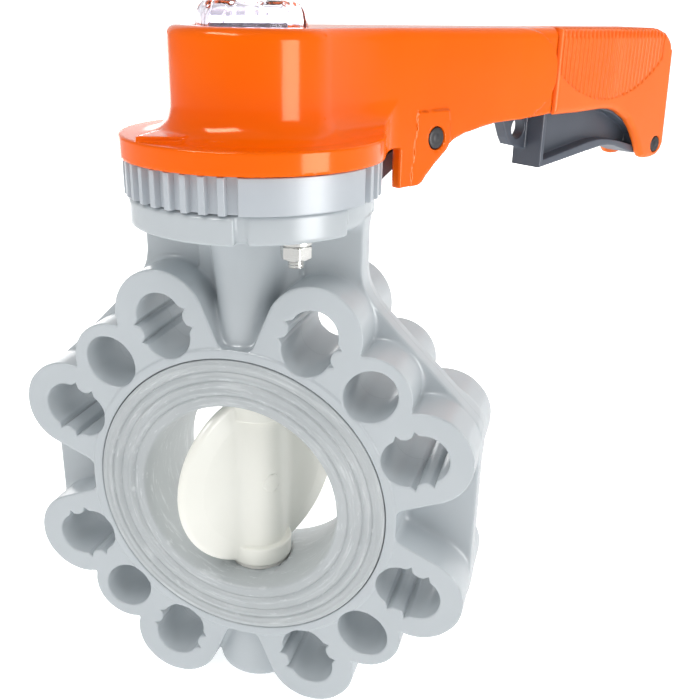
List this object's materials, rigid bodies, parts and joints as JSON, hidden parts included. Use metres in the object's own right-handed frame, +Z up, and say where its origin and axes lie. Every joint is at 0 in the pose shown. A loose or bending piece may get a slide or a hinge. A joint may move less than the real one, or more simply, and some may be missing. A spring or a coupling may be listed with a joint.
{
  "type": "lever butterfly valve",
  "caption": "Wafer butterfly valve: octagonal bolt-lobe body, rubber-seated bore with turning disc, and a trigger-latched lever on an indexing ring.",
  "frame": {"origin": "on the pipe axis and the stem axis, at mid face-to-face", "axes": "+Z up the stem to the lever, Y along the pipe with the seen face towards -Y, +X where the lever points when the valve is shut"},
  "size_m": [0.248, 0.2801, 0.2795],
  "materials": {
    "body_plastic": "satin moulded",
    "liner_rubber": "matt",
    "disc_plastic": "satin",
    "rack_plastic": "satin moulded",
    "handle_plastic": "gloss",
    "grip_plastic": "satin",
    "trigger_plastic": "satin",
    "pin_black": "satin",
    "clear_plastic": "clear",
    "indicator_plastic": "satin",
    "stainless": "turned",
    "seal_rubber": "matt",
    "bush_plastic": "satin"
  },
  "bodies": {
    "body": {"valve_body": "body_plastic", "seat_liner": "liner_rubber", "bottom_plug": "body_plastic", "rack_ring": "rack_plastic", "stem_bush_top": "bush_plastic", "stem_bush_bottom": "bush_plastic", "bolt_front": "stainless", "bolt_back": "stainless", "washer_front": "stainless", "washer_back": "stainless", "nut_front": "stainless", "nut_back": "stainless"},
    "lever": {"disc": "disc_plastic", "stem": "stainless", "o_ring_upper": "seal_rubber", "o_ring_lower": "seal_rubber", "hub_ring_top": "bush_plastic", "hub_ring_bottom": "bush_plastic", "handle_shell": "handle_plastic", "grip_shell": "grip_plastic", "inspection_plug": "clear_plastic", "position_indicator": "indicator_plastic", "stem_washer": "stainless", "stem_screw": "stainless", "latch_pin": "pin_black", "trigger_pin": "pin_black", "latch_spring": "stainless"},
    "latch": {"latch_lever": "trigger_plastic"},
    "trigger": {"trigger_lever": "trigger_plastic"}
  },
  "joints": [
    {"name": "lever_turn", "type": "hinge", "parent": "body", "child": "lever", "pos_m": [0, 0, 0], "axis": [0, 0, 1], "range_deg": [-57.27, 32.73]},
    {"name": "trigger_pull", "type": "hinge", "parent": "lever", "child": "trigger", "pos_m": [0.13932, 0.21679, 0.118], "axis": [-0.8413, 0.5406, 0], "range_deg": [-4, 12], "stiffness_Nm_per_rad": 4},
    {"name": "latch_swing", "type": "hinge", "parent": "lever", "child": "latch", "pos_m": [0.04217, 0.06562, 0.1355], "axis": [-0.8413, 0.5406, 0], "range_deg": [-20.6, 7], "deforming": ["latch_spring"]}
  ],
  "couplings": [
    {"joint": "latch_swing", "follows": "trigger_pull", "ratio": -1.69}
  ]
}
